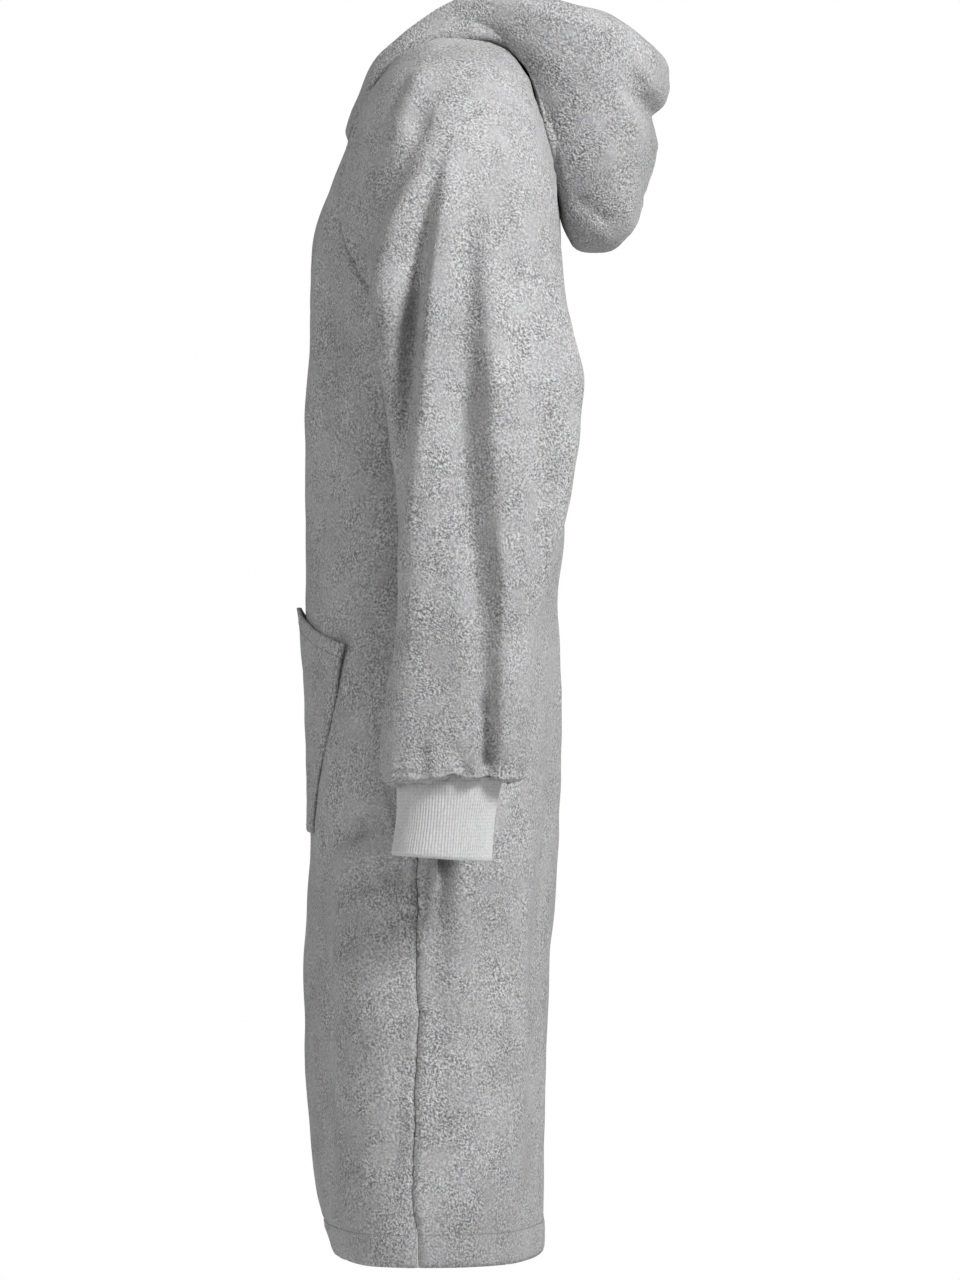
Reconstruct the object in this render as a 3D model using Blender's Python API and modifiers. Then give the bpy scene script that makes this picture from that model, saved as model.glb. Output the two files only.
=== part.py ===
"""Blanket hoodie: a long hooded terry robe with raglan sleeves, ribbed cuffs and a front pouch pocket.

Front faces -Y, the wearer's left is +X, up is +Z. The origin is the neck centre at shoulder level, where
the wearer's shoulders hold the garment up. Tables and sizes are in millimetres, meshes in metres.
"""

import bmesh
import bpy
import numpy as np
from mathutils import Vector

MM = 0.001

# Cloth
WALL = 3.0          # looped terry, pile included
RIB_WALL = 2.4      # doubled fine rib of the cuffs
SEAM = 0.4          # air between two pieces along a seam
EDGE = 0.012        # share of a panel's width in the narrow strip beside its seams
SLEEVE_EDGE = 0.03

# Heights where the cut changes
HEM_Z = -1188.0
UNDERARM_Z = -290.0
CUFF_TOP_Z = -717.0
CUFF_LENGTH = 75.0


class Table:
    """Rows of sizes under named columns, read smoothly along the first column."""

    def __init__(self, names, rows):
        data = np.array(sorted(rows), dtype=float)
        self.key = data[:, 0]
        self.columns = {name: data[:, i] for i, name in enumerate(names.split())}

    def at(self, name, where):
        """The named column at the given places, as a smooth curve through the rows."""
        key, value = self.key, self.columns[name]
        where = np.clip(np.asarray(where, dtype=float), key[0], key[-1])
        step = np.diff(key)
        slope = np.diff(value) / step
        tangent = np.zeros_like(value)
        level = slope[:-1] * slope[1:] > 0
        mean = (slope[:-1] * step[1:] + slope[1:] * step[:-1]) / (step[:-1] + step[1:])
        tangent[1:-1] = np.where(level, mean, 0.0)
        i = np.clip(np.searchsorted(key, where, side="right") - 1, 0, len(key) - 2)
        t = (where - key[i]) / step[i]
        rise = value[i] * (2 * t**3 - 3 * t**2 + 1) + value[i + 1] * (3 * t**2 - 2 * t**3)
        bend = tangent[i] * (t**3 - 2 * t**2 + t) + tangent[i + 1] * (t**3 - t**2)
        return rise + bend * step[i]


# Body rings: depth in front, depth behind, half width, and the line of the side seams
BODY = Table(
    "z front back half mid",
    [
        (14, -16, 22, 107, 3),
        (8, -32, 39, 130, 3),
        (0, -48, 53, 156, 3),
        (-12, -61, 61, 184, 3),
        (-25, -75, 68, 204, 3),
        (-40, -87, 73, 220, 3),
        (-60, -97, 80, 234, 3),
        (-80, -104, 87, 244, 4),
        (-130, -124, 101, 262, 5),
        (-180, -140, 105, 254, 7),
        (-230, -143, 106, 240, 9),
        (-262, -143, 106, 226, 10),
        (-275, -143, 106, 217, 10),
        (-284, -143, 106, 214, 10),
        (-290, -143, 106, 213, 10),
        (-340, -145, 108, 213, 4),
        (-400, -147, 110, 219, -4),
        (-470, -148, 111, 227, -12),
        (-560, -149, 100, 236, -22),
        (-680, -146, 103, 245, -30),
        (-760, -144, 103, 249, -33),
        (-900, -143, 95, 254, -36),
        (-1060, -140, 92, 258, -38),
        (-1120, -134, 91, 259, -38),
        (-1160, -128, 90, 259, -37),
        (-1188, -121, 89, 258, -36),
    ],
)

# Sleeve rings: nearest and farthest from the body, depth in front and behind, and the seam line
SLEEVE = Table(
    "z inner outer front back mid",
    [
        (14, 0, 107, -16, 22, 3),
        (8, 0, 130, -30, 36, 3),
        (0, 0, 156, -44, 49, 3),
        (-12, 0, 185, -56, 58, 3),
        (-25, 0, 206, -66, 65, 3),
        (-40, 0, 222, -74, 70, 3),
        (-60, 20, 238, -78, 77, 3),
        (-80, 40, 250, -80, 84, 4),
        (-130, 90, 274, -82, 97, 5),
        (-180, 130, 296, -80, 102, 7),
        (-230, 165, 312, -76, 106, 9),
        (-262, 191, 320, -72, 111, 10),
        (-275, 206, 322, -71, 114, 10),
        (-284, 211, 324, -70, 116, 10),
        (-290, 213, 325, -70, 118, 10),
        (-330, 222, 332, -67, 126, 14),
        (-380, 229, 338, -62, 123, 20),
        (-450, 239, 344, -54, 111, 24),
        (-500, 245, 346, -50, 99, 22),
        (-560, 250, 348, -52, 82, 14),
        (-620, 255, 350, -58, 77, 8),
        (-680, 258, 353, -68, 71, 2),
        (-700, 259, 354, -69, 68, 0),
        (-712, 264, 350, -65, 62, -2),
        (-717, 272, 342, -57, 50, -3),
    ],
)

# Distance of the raglan seams from the middle of the garment
RAGLAN = Table(
    "z front back",
    [
        (-4, 80, 80),
        (-42, 80, 98),
        (-60, 93, 106),
        (-90, 114, 122),
        (-130, 145, 148),
        (-180, 178, 176),
        (-230, 204, 204),
        (-262, 213, 213),
        (-290, 213, 213),
    ],
)

# Rows of the cut from neck to underarm: heights at the shoulder ridge, the two raglan seams, and how far
# the row dips or rises towards the middle of the front and back
YOKE = Table(
    "row ridge front back front_dip back_dip",
    [
        (0, 13, -42, -4, 39, 18),
        (1, 7, -58, -16, 34, 15),
        (2, -3, -78, -38, 27, 11),
        (3, -24, -104, -70, 20, 7),
        (4, -60, -134, -108, 13, 4),
        (5, -106, -168, -148, 7, 2),
        (6, -152, -202, -188, 3, 1),
        (7, -196, -232, -224, 1, 0),
        (8, -232, -254, -250, 0, 0),
        (9, -262, -268, -266, 0, 0),
        (10, -280, -282, -282, 0, 0),
        (11, -290, -290, -290, 0, 0),
    ],
)

BODY_ROWS = (-312, -345, -395, -455, -520, -560, -600, -650, -700, -750, -800, -860)
SKIRT_ROWS = (-930, -1000, -1070, -1130, -1165, HEM_Z)
SLEEVE_ROWS = (-310, -335, -375, -425, -480, -540, -600, -655, -696, -710, -717)

# Rim of the hood's face opening on the wearer's left, and the way the hood hangs from the neck seam to it:
# aim is the bearing of the sag from straight back, reach and drop are its shares of the full bag
HOOD = Table(
    "turn rim_x rim_y rim_z aim reach drop",
    [
        (0.00, 3, -107, -73, 90, 0.0, 0.0),
        (0.12, 22, -103, -61, 90, 0.0, 0.0),
        (0.22, 45, -95, -44, 90, 0.0, 0.0),
        (0.33, 72, -76, -6, 90, 0.02, 0.0),
        (0.42, 86, -46, 20, 86, 0.03, 0.0),
        (0.50, 95, -8, 46, 74, 0.07, 0.0),
        (0.60, 101, 36, 59, 50, 0.22, 0.03),
        (0.68, 102, 72, 57, 27, 0.46, 0.24),
        (0.76, 94, 98, 50, 15, 0.73, 0.58),
        (0.87, 63, 122, 41, 9, 0.94, 0.92),
        (1.00, 0, 130, 35, 0, 1.0, 1.0),
    ],
)

# Centre-back seam of the hood from the neck, down behind the back, round the bag and over the roll
BAG = (
    (0, 0),
    (11, 6),
    (30, -22),
    (42, -90),
    (50, -143),
    (66, -163),
    (84, -166),
    (104, -150),
    (119, -112),
    (131, -60),
    (127, -35),
    (143, -14),
    (143, 10),
    (112, 43),
    (63, 57),
)

HOOD_SIDE_SWELL = 20.0
HOOD_FRONT_GAP = 2.0   # each half of the hood stops short of centre front

# Largest folds: place across the piece at the top and bottom of the fold, heights, half width, height out
SLEEVE_FOLDS = (
    dict(name="front trough", top=-22, bottom=-44, high=-120, low=-560, wide=17, out=-8),
    dict(name="long ridge", top=-2, bottom=-36, high=-110, low=-660, wide=22, out=6),
    dict(name="wide trough", top=22, bottom=33, high=-130, low=-690, wide=26, out=-9),
    dict(name="rear ridge", top=52, bottom=56, high=-260, low=-700, wide=20, out=6),
)
FRONT_FOLDS = (
    dict(name="armhole drag", top=150, bottom=120, high=-150, low=-420, wide=42, out=-6),
    dict(name="skirt fold", top=140, bottom=170, high=-800, low=-1150, wide=52, out=-8),
    dict(name="middle hang", top=0, bottom=0, high=-780, low=-1180, wide=70, out=5),
)
BACK_FOLDS = (
    dict(name="back hollow", top=0, bottom=0, high=-240, low=-640, wide=85, out=-6),
    dict(name="blade drag", top=130, bottom=150, high=-150, low=-460, wide=45, out=-6),
    dict(name="skirt fold", top=110, bottom=140, high=-640, low=-1150, wide=55, out=-9),
)

# Pocket: half widths at its upper corners and its foot, and the heights of its edge
POCKET_CORNER = 204.0
POCKET_FOOT = 112.0
POCKET_TOP_Z = -548.0
POCKET_CORNER_Z = -584.0
POCKET_FOOT_Z = -770.0
POCKET_GAPE = 6.2

GREY_TERRY = (0.36, 0.36, 0.365, 1.0)
PALE_TERRY = (0.40, 0.40, 0.405, 1.0)
PALE_RIB = (0.58, 0.58, 0.59, 1.0)


def bow(offset, reach, power):
    """Height of a rounded bow over its chord, 1 in the middle and 0 at the reach."""
    share = np.clip(np.abs(offset) / reach, 0.0, 1.0)
    beyond = np.maximum(np.abs(offset) - reach, 0.0)
    return (1.0 - share**power) ** (1.0 / power), beyond


def blend_max(a, b, soft):
    """The larger of two heights, rounded where they meet."""
    near = np.maximum(soft - np.abs(a - b), 0.0)
    return np.maximum(a, b) + near**2 / (4.0 * np.maximum(soft, 1e-6))


def folds(rows, across, z):
    """Height of the folds at places across a piece and heights up it."""
    height = np.zeros(np.broadcast(across, z).shape)
    for fold in rows:
        down = (fold["high"] - z) / (fold["high"] - fold["low"])
        line = fold["top"] + (fold["bottom"] - fold["top"]) * np.clip(down, 0.0, 1.0)
        swell = np.sin(np.pi * np.clip(down, 0.0, 1.0)) ** 0.7
        height = height + fold["out"] * swell * np.exp(-(((across - line) / fold["wide"]) ** 2))
    return height


def ring_y(x, z, side):
    """Front (side -1) or back (side +1) of the body and sleeve as one form, at widths x and heights z."""
    x = np.abs(x)
    mid = BODY.at("mid", z)
    name = "front" if side < 0 else "back"
    body_bow, past = bow(x, BODY.at("half", z), 2.5)
    body = body_bow * np.abs(BODY.at(name, z) - mid) - 2.0 * past
    inner, outer = SLEEVE.at("inner", z), SLEEVE.at("outer", z)
    sleeve_bow, past = bow(x - (inner + outer) / 2, (outer - inner) / 2, 2.0)
    sleeve = sleeve_bow * np.abs(SLEEVE.at(name, z) - mid) - 2.0 * past
    soft = 30.0 * np.clip((z - UNDERARM_Z) / 60.0, 0.0, 1.0)
    both = np.where(z >= UNDERARM_Z, blend_max(body, sleeve, soft), body)
    rows = FRONT_FOLDS if side < 0 else BACK_FOLDS
    fade = np.clip((BODY.at("half", z) - x) / 40.0, 0.0, 1.0)
    return mid + side * (both + fade * folds(rows, x, z))


def columns(count, edge):
    """Places across a panel from -1 to 1, with a narrow strip at each end."""
    inside = np.linspace(-1.0, 1.0, count + 1)[1:-1]
    return np.concatenate([[-1.0, -1.0 + edge], inside, [1.0 - edge, 1.0]])


def panel_points(side):
    """The front (side -1) or back (side +1) panel, neck edge first, from the right edge to the left."""
    name = "front" if side < 0 else "back"
    s = columns(14, EDGE)
    yoke = np.arange(len(YOKE.key))
    corner = YOKE.at(name, yoke)
    dip = YOKE.at(name + "_dip", yoke)
    z = np.concatenate([corner, BODY_ROWS, SKIRT_ROWS])[:, None]
    dip = np.concatenate([dip, np.zeros(len(BODY_ROWS + SKIRT_ROWS))])[:, None]
    edge_x = np.where(z >= UNDERARM_Z, RAGLAN.at(name, z), BODY.at("half", z))
    turn = np.radians(90.0 - 32.0 * np.clip((z - UNDERARM_Z) / 160.0, 0.0, 1.0))
    x = edge_x * np.sin(s * turn) / np.sin(turn)
    z = z - dip * (1.0 - s**2)
    y = ring_y(x, z, side) + side * SEAM / 2
    return np.stack(np.broadcast_arrays(x, y, z), axis=-1)


def sleeve_points():
    """The left sleeve, neck edge first, from the front seam over the outside to the back seam."""
    s = columns(14, SLEEVE_EDGE)
    yoke = np.arange(len(YOKE.key))
    ridge = np.concatenate([YOKE.at("ridge", yoke), SLEEVE_ROWS])[:, None]
    front = np.concatenate([YOKE.at("front", yoke), SLEEVE_ROWS])[:, None]
    back = np.concatenate([YOKE.at("back", yoke), SLEEVE_ROWS])[:, None]
    end = np.where(s < 0, front, back)
    z = ridge + (end - ridge) * s**2
    seam = np.where(s < 0, RAGLAN.at("front", front), RAGLAN.at("back", back))
    inner, outer = SLEEVE.at("inner", ridge), SLEEVE.at("outer", ridge)
    tube = ridge <= UNDERARM_Z
    merge = np.clip((end - UNDERARM_Z) / 60.0, 0.0, 1.0)
    middle = np.where(tube, (inner + outer) / 2, 0.0)
    middle = np.where(tube, middle, (inner + outer) / 2 * (1 - merge) + seam * merge)
    middle = np.maximum(middle, seam * merge)
    start = np.where(tube, inner, seam)
    swing = np.arccos(np.clip((start - middle) / (outer - middle), -1.0, 1.0))
    x = middle + (outer - middle) * np.cos(s * swing)
    side = np.where(s < 0, -1.0, 1.0)
    joined = np.where(s < 0, ring_y(x, z, -1), ring_y(x, z, 1))
    mid = SLEEVE.at("mid", z)
    depth = np.where(s < 0, mid - SLEEVE.at("front", z), SLEEVE.at("back", z) - mid)
    hung_bow, _ = bow(x - (inner + outer) / 2, (outer - inner) / 2, 2.0)
    y = np.where(tube, mid + side * depth * hung_bow, joined)
    outward = np.clip((x - (inner + outer) / 2) / (outer - inner) * 2, 0.0, 1.0)
    x = x + outward * folds(SLEEVE_FOLDS, y, z) + 2 * SEAM
    return np.stack(np.broadcast_arrays(x, y, z), axis=-1)


def cuff_points():
    """The left cuff, from the sleeve's end down."""
    turn = np.linspace(-np.pi, np.pi, 17)
    rows = np.array([0.0, 0.12, 0.6, 1.0])[:, None]
    z = CUFF_TOP_Z - SEAM - rows * CUFF_LENGTH
    inner, outer = SLEEVE.at("inner", CUFF_TOP_Z), SLEEVE.at("outer", CUFF_TOP_Z)
    mid, front, back = (SLEEVE.at(name, CUFF_TOP_Z) for name in ("mid", "front", "back"))
    squeeze = 1.0 - 0.07 * np.sin(np.pi * rows)
    x = (inner + outer) / 2 + (outer - inner) / 2 * np.cos(turn) * squeeze + SEAM
    depth = np.where(turn < 0, mid - front, back - mid)
    lean = -6.0 * rows
    y = mid + lean + np.sin(turn) * depth * squeeze
    return np.stack(np.broadcast_arrays(x, y, z), axis=-1)


def neck_line(turn):
    """The left half of the neck seam, from centre front (0) over the shoulder to centre back (1)."""
    front_end, back_end = 0.34, 0.68
    shoulder = np.clip((turn - 0.5) / np.where(turn < 0.5, 0.5 - front_end, back_end - 0.5), -1, 1)
    ridge, front, back = (YOKE.at(name, 0) for name in ("ridge", "front", "back"))
    end = np.where(turn < 0.5, front, back)
    seam = RAGLAN.at("front", front)
    reach = SLEEVE.at("outer", ridge)
    x = seam + (reach - seam) * np.cos(shoulder * np.pi / 2)
    z = ridge + (end - ridge) * shoulder**2
    share = np.where(turn < 0.5, turn / front_end, (1 - turn) / (1 - back_end))
    share = np.clip(share, 0.0, 1.0)
    x = np.where(np.abs(shoulder) < 1, x, seam * np.sin(share * np.radians(58)) / np.sin(np.radians(58)))
    dip = np.where(turn < 0.5, YOKE.at("front_dip", 0), YOKE.at("back_dip", 0))
    z = z - np.where(np.abs(shoulder) < 1, 0.0, dip * (1.0 - share**2))
    y = np.where(turn < 0.5, ring_y(x, z, -1), ring_y(x, z, 1))
    return x, y, z


def hood_points():
    """The left half of the hood, from centre front to centre back, neck edge to rim."""
    turn = np.array([0, 0.12, 0.24, 0.34, 0.42, 0.5, 0.58, 0.65, 0.72, 0.79, 0.87, 0.94, 0.985, 1])[:, None]
    bag = np.array(BAG, dtype=float)
    walk = np.concatenate([[0.0], np.cumsum(np.hypot(*np.diff(bag, axis=0).T))])
    share = walk / walk[-1]
    sag_out = bag[:, 0] - bag[-1, 0] * share
    sag_up = bag[:, 1] - bag[-1, 1] * share
    neck = neck_line(turn)
    aim = np.radians(HOOD.at("aim", turn))
    reach, drop = HOOD.at("reach", turn), HOOD.at("drop", turn)
    rim = [HOOD.at(name, turn) for name in ("rim_x", "rim_y", "rim_z")]
    swell = HOOD_SIDE_SWELL * np.exp(-(((turn - 0.75) / 0.08) ** 2) - (((share - 0.27) / 0.15) ** 2))
    x = neck[0] + (rim[0] - neck[0]) * share + np.sin(aim) * reach * sag_out + swell
    y = neck[1] + (rim[1] - neck[1]) * share + np.cos(aim) * reach * sag_out
    z = neck[2] + (rim[2] - neck[2]) * share + drop * sag_up + 3 * SEAM
    apart = SEAM + HOOD_FRONT_GAP * np.clip(1.0 - turn / 0.12, 0.0, 1.0)
    return np.stack([x + apart, y, z], axis=-1)


def mesh_of(name, points, flip=False, joined_from=None):
    """An open grid of faces over rows and columns of points; rows from joined_from on close into a tube."""
    rows, cols = points.shape[:2]
    index = np.arange(rows * cols).reshape(rows, cols)
    if joined_from is not None:
        index[joined_from:, -1] = index[joined_from:, 0]
    corners = [index[:-1, :-1], index[:-1, 1:], index[1:, 1:], index[1:, :-1]]
    faces = np.stack(corners[::-1] if flip else corners, axis=-1).reshape(-1, 4)
    mesh = bpy.data.meshes.new(name)
    mesh.from_pydata((points.reshape(-1, 3) * MM).tolist(), [], faces.tolist())
    tidy = bmesh.new()
    tidy.from_mesh(mesh)
    loose = [vertex for vertex in tidy.verts if not vertex.link_faces]
    bmesh.ops.delete(tidy, geom=loose, context="VERTS")
    tidy.to_mesh(mesh)
    tidy.free()
    return mesh


def mirrored(points):
    """The same points for the wearer's right."""
    return points * np.array([-1.0, 1.0, 1.0])


def material(name, colour, roughness):
    """A plain cloth finish."""
    made = bpy.data.materials.new(name)
    made.use_nodes = True
    shader = made.node_tree.nodes["Principled BSDF"]
    shader.inputs["Base Color"].default_value = colour
    shader.inputs["Roughness"].default_value = roughness
    shader.inputs["Metallic"].default_value = 0.0
    return made


def piece(name, mesh, colour, wall, outward=-1.0):
    """One cut piece: its surface given the cloth's wall."""
    made = bpy.data.objects.new(name, mesh)
    parts.objects.link(made)
    made.data.materials.append(material(name + " cloth", colour, 0.95))
    thick = made.modifiers.new("cloth wall", "SOLIDIFY")
    thick.thickness = wall * MM
    thick.offset = outward
    return made


def pocket_mesh(points):
    """The pocket, cut from the front panel's own facets and lifted off them, gaping along its top."""
    cloth = bmesh.new()
    cloth.from_mesh(mesh_of("pocket", points, flip=True))
    slope = (POCKET_CORNER - POCKET_FOOT) / (POCKET_CORNER_Z - POCKET_FOOT_Z)
    rise = (POCKET_TOP_Z - POCKET_CORNER_Z) / (POCKET_CORNER - 40.0)
    cuts = [((0, 0, POCKET_FOOT_Z), (0, 0, -1)), ((0, 0, POCKET_TOP_Z), (0, 0, 1))]
    for hand in (-1, 1):
        cuts.append(((hand * POCKET_FOOT, 0, POCKET_FOOT_Z), (hand, 0, -slope)))
        cuts.append(((hand * POCKET_CORNER, 0, POCKET_CORNER_Z), (hand * rise, 0, 1)))
    for place, away in cuts:
        bmesh.ops.bisect_plane(
            cloth,
            geom=list(cloth.verts) + list(cloth.edges) + list(cloth.faces),
            dist=1e-6,
            plane_co=Vector(place) * MM,
            plane_no=Vector(away).normalized(),
            clear_outer=True,
        )
    cloth.normal_update()
    for vertex, normal in [(v, v.normal.copy()) for v in cloth.verts]:
        x, _, z = vertex.co / MM
        middle = max(0.0, 1.0 - (x / 120.0) ** 2)
        open_top = max(0.0, 1.0 - (POCKET_TOP_Z - z) / 90.0)
        vertex.co += normal * (SEAM + POCKET_GAPE * middle * open_top**2) * MM
    made = bpy.data.meshes.new("pocket")
    cloth.to_mesh(made)
    cloth.free()
    return made


for old in list(bpy.data.objects):
    bpy.data.objects.remove(old)
parts = bpy.data.collections.new("blanket hoodie")
bpy.context.scene.collection.children.link(parts)

front_points = panel_points(-1)
back_points = panel_points(1)
sleeve = sleeve_points()
cuff = cuff_points()
hood = hood_points()
underarm_row = len(YOKE.key) - 1

piece("front", mesh_of("front", front_points, flip=True), GREY_TERRY, WALL)
piece("back", mesh_of("back", back_points), GREY_TERRY, WALL)
piece("pocket", pocket_mesh(front_points), GREY_TERRY, WALL, outward=1.0)
for hand in ("left", "right"):
    right = hand == "right"
    turned = mirrored if right else np.array
    piece(
        "sleeve_" + hand,
        mesh_of("sleeve_" + hand, turned(sleeve), flip=not right, joined_from=underarm_row),
        GREY_TERRY,
        WALL,
    )
    cuff_mesh = mesh_of("cuff_" + hand, turned(cuff), flip=not right, joined_from=0)
    piece("cuff_" + hand, cuff_mesh, PALE_RIB, RIB_WALL)
    hood_mesh = mesh_of("hood_" + hand, turned(hood.transpose(1, 0, 2)), flip=right)
    piece("hood_" + hand, hood_mesh, PALE_TERRY, WALL)
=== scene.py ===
"""Blanket hoodie: the finished look of a long hooded robe in grey looped terry, built around its CAD frame.

Front faces -Y, the wearer's left is +X, up is +Z, and the origin is the neck centre at shoulder level.
Tables and sizes are in millimetres, meshes in metres.
"""

import logging
import math
from dataclasses import dataclass
from enum import Enum

import bpy
import numpy as np
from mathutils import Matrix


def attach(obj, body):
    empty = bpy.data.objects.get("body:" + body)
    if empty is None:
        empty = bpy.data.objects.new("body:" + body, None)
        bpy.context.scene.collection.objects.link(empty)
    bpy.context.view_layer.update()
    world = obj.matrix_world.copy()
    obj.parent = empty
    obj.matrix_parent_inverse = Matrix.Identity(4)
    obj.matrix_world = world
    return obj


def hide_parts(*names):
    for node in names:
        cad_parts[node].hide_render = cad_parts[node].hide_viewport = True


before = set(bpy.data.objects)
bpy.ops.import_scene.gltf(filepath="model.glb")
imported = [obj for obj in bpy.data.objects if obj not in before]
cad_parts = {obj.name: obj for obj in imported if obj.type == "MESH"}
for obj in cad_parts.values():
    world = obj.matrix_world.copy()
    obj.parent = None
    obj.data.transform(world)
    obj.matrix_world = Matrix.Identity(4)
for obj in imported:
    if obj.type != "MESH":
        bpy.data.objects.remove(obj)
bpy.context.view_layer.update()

LOG = logging.getLogger("blanket_hoodie")
MM = 0.001
Array = np.ndarray


# --------------------------------------
# Sizes of the cut and of the worn form
# --------------------------------------


class Table:
    """Rows of sizes under named columns, read as smooth curves along the first column."""

    def __init__(self, names: str, rows: list[tuple[float, ...]]) -> None:
        """Sort the rows by their first column and keep each column by name.

        Args:
            names: Column names, parted by spaces.
            rows: One tuple of numbers for each row.
        """
        data = np.array(sorted(rows), dtype=float)
        self.key: Array = data[:, 0]
        self.columns: dict[str, Array] = {name: data[:, i] for i, name in enumerate(names.split())}

    def at(self, name: str, where: Array | float) -> Array:
        """Read one column between its rows.

        A cubic Hermite curve runs through the rows. Its slope at a row is the weighted mean of the slopes
        on both sides where they agree in sign, and zero elsewhere, so it never overshoots.

        Args:
            name: The column.
            where: Places along the first column.

        Returns:
            The column's values there.
        """
        key, value = self.key, self.columns[name]
        where = np.clip(np.asarray(where, dtype=float), key[0], key[-1])
        step = np.diff(key)
        slope = np.diff(value) / step
        tangent = np.zeros_like(value)
        mean = (slope[:-1] * step[1:] + slope[1:] * step[:-1]) / (step[:-1] + step[1:])
        tangent[1:-1] = np.where(slope[:-1] * slope[1:] > 0, mean, 0.0)
        i = np.clip(np.searchsorted(key, where, side="right") - 1, 0, len(key) - 2)
        t = (where - key[i]) / step[i]
        rise = value[i] * (2 * t**3 - 3 * t**2 + 1) + value[i + 1] * (3 * t**2 - 2 * t**3)
        bend = tangent[i] * (t**3 - 2 * t**2 + t) + tangent[i + 1] * (t**3 - t**2)
        return rise + bend * step[i]


HEM_Z = -1188.0
UNDERARM_Z = -290.0
CUFF_TOP_Z = -717.0
CUFF_LENGTH = 75.0
WALL = 3.0
RIB_WALL = 2.4
SEAM = 0.4
HOOD_SIDE_SWELL = 20.0
HOOD_FRONT_GAP = 2.0
NECK_ARC = math.radians(58.0)
WAVES = 14

# Body rings: depth in front, depth behind, half width, and the line of the side seams
BODY = Table(
    "z front back half mid",
    [
        (14, -16, 22, 107, 3),
        (8, -32, 39, 130, 3),
        (0, -48, 53, 156, 3),
        (-12, -61, 61, 184, 3),
        (-25, -75, 68, 204, 3),
        (-40, -87, 73, 220, 3),
        (-60, -97, 80, 234, 3),
        (-80, -104, 87, 244, 4),
        (-130, -124, 101, 262, 5),
        (-180, -140, 105, 254, 7),
        (-230, -143, 106, 240, 9),
        (-262, -143, 106, 226, 10),
        (-275, -143, 106, 217, 10),
        (-284, -143, 106, 214, 10),
        (-290, -143, 106, 213, 10),
        (-340, -145, 108, 213, 4),
        (-400, -147, 110, 219, -4),
        (-470, -148, 111, 227, -12),
        (-560, -149, 100, 236, -22),
        (-680, -146, 103, 245, -30),
        (-760, -144, 103, 249, -33),
        (-900, -143, 95, 254, -36),
        (-1060, -140, 92, 258, -38),
        (-1120, -134, 91, 259, -38),
        (-1160, -128, 90, 259, -37),
        (-1188, -121, 89, 258, -36),
    ],
)

# Sleeve rings: nearest and farthest from the body, depth in front and behind, and the seam line
SLEEVE = Table(
    "z inner outer front back mid",
    [
        (14, 0, 107, -16, 22, 3),
        (8, 0, 130, -30, 36, 3),
        (0, 0, 156, -44, 49, 3),
        (-12, 0, 185, -56, 58, 3),
        (-25, 0, 206, -66, 65, 3),
        (-40, 0, 222, -74, 70, 3),
        (-60, 20, 238, -78, 77, 3),
        (-80, 40, 250, -80, 84, 4),
        (-130, 90, 274, -82, 97, 5),
        (-180, 130, 296, -80, 102, 7),
        (-230, 165, 312, -76, 106, 9),
        (-262, 191, 320, -72, 111, 10),
        (-275, 206, 322, -71, 114, 10),
        (-284, 211, 324, -70, 116, 10),
        (-290, 213, 325, -70, 118, 10),
        (-330, 222, 332, -67, 126, 14),
        (-380, 229, 338, -62, 123, 20),
        (-450, 239, 344, -54, 111, 24),
        (-500, 245, 346, -50, 99, 22),
        (-560, 250, 348, -52, 82, 14),
        (-620, 255, 350, -58, 77, 8),
        (-680, 258, 353, -68, 71, 2),
        (-706, 259, 354, -69, 67, 0),
        (-714, 261, 352, -67, 65, -1),
        (-717, 270, 344, -59, 52.5, -3),
    ],
)

# Distance of the raglan seams from the middle of the garment
RAGLAN = Table(
    "z front back",
    [
        (-4, 80, 80),
        (-42, 80, 98),
        (-60, 93, 106),
        (-90, 114, 122),
        (-130, 145, 148),
        (-180, 178, 176),
        (-230, 204, 204),
        (-262, 213, 213),
        (-290, 213, 213),
    ],
)

# Rows of the cut from neck to underarm: heights at the shoulder ridge and at the two raglan seams, and how
# far the row dips towards the middle of the front and back
YOKE = Table(
    "row ridge front back front_dip back_dip",
    [
        (0, 13, -42, -4, 39, 18),
        (1, 7, -58, -16, 34, 15),
        (2, -3, -78, -38, 27, 11),
        (3, -24, -104, -70, 20, 7),
        (4, -60, -134, -108, 13, 4),
        (5, -106, -168, -148, 7, 2),
        (6, -152, -202, -188, 3, 1),
        (7, -196, -232, -224, 1, 0),
        (8, -232, -254, -250, 0, 0),
        (9, -262, -268, -266, 0, 0),
        (10, -280, -282, -282, 0, 0),
        (11, -290, -290, -290, 0, 0),
    ],
)
YOKE_ROWS = 11

# Rim of the hood's face opening on the wearer's left, and the way the hood hangs from the neck seam to it:
# aim is the bearing of the sag from straight back, reach and drop are its shares of the full bag
HOOD = Table(
    "turn rim_x rim_y rim_z aim reach drop",
    [
        (0.00, 3, -107, -73, 90, 0.0, 0.0),
        (0.12, 22, -103, -61, 90, 0.0, 0.0),
        (0.22, 45, -95, -44, 90, 0.0, 0.0),
        (0.33, 72, -76, -6, 90, 0.0, 0.0),
        (0.42, 87, -46, 20, 86, 0.0, 0.0),
        (0.50, 97, -8, 46, 74, 0.01, 0.0),
        (0.60, 103, 36, 59, 50, 0.13, 0.03),
        (0.68, 102, 72, 57, 27, 0.46, 0.24),
        (0.76, 94, 98, 50, 15, 0.73, 0.58),
        (0.87, 63, 122, 41, 9, 0.94, 0.92),
        (1.00, 0, 130, 35, 0, 1.0, 1.0),
    ],
)

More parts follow.
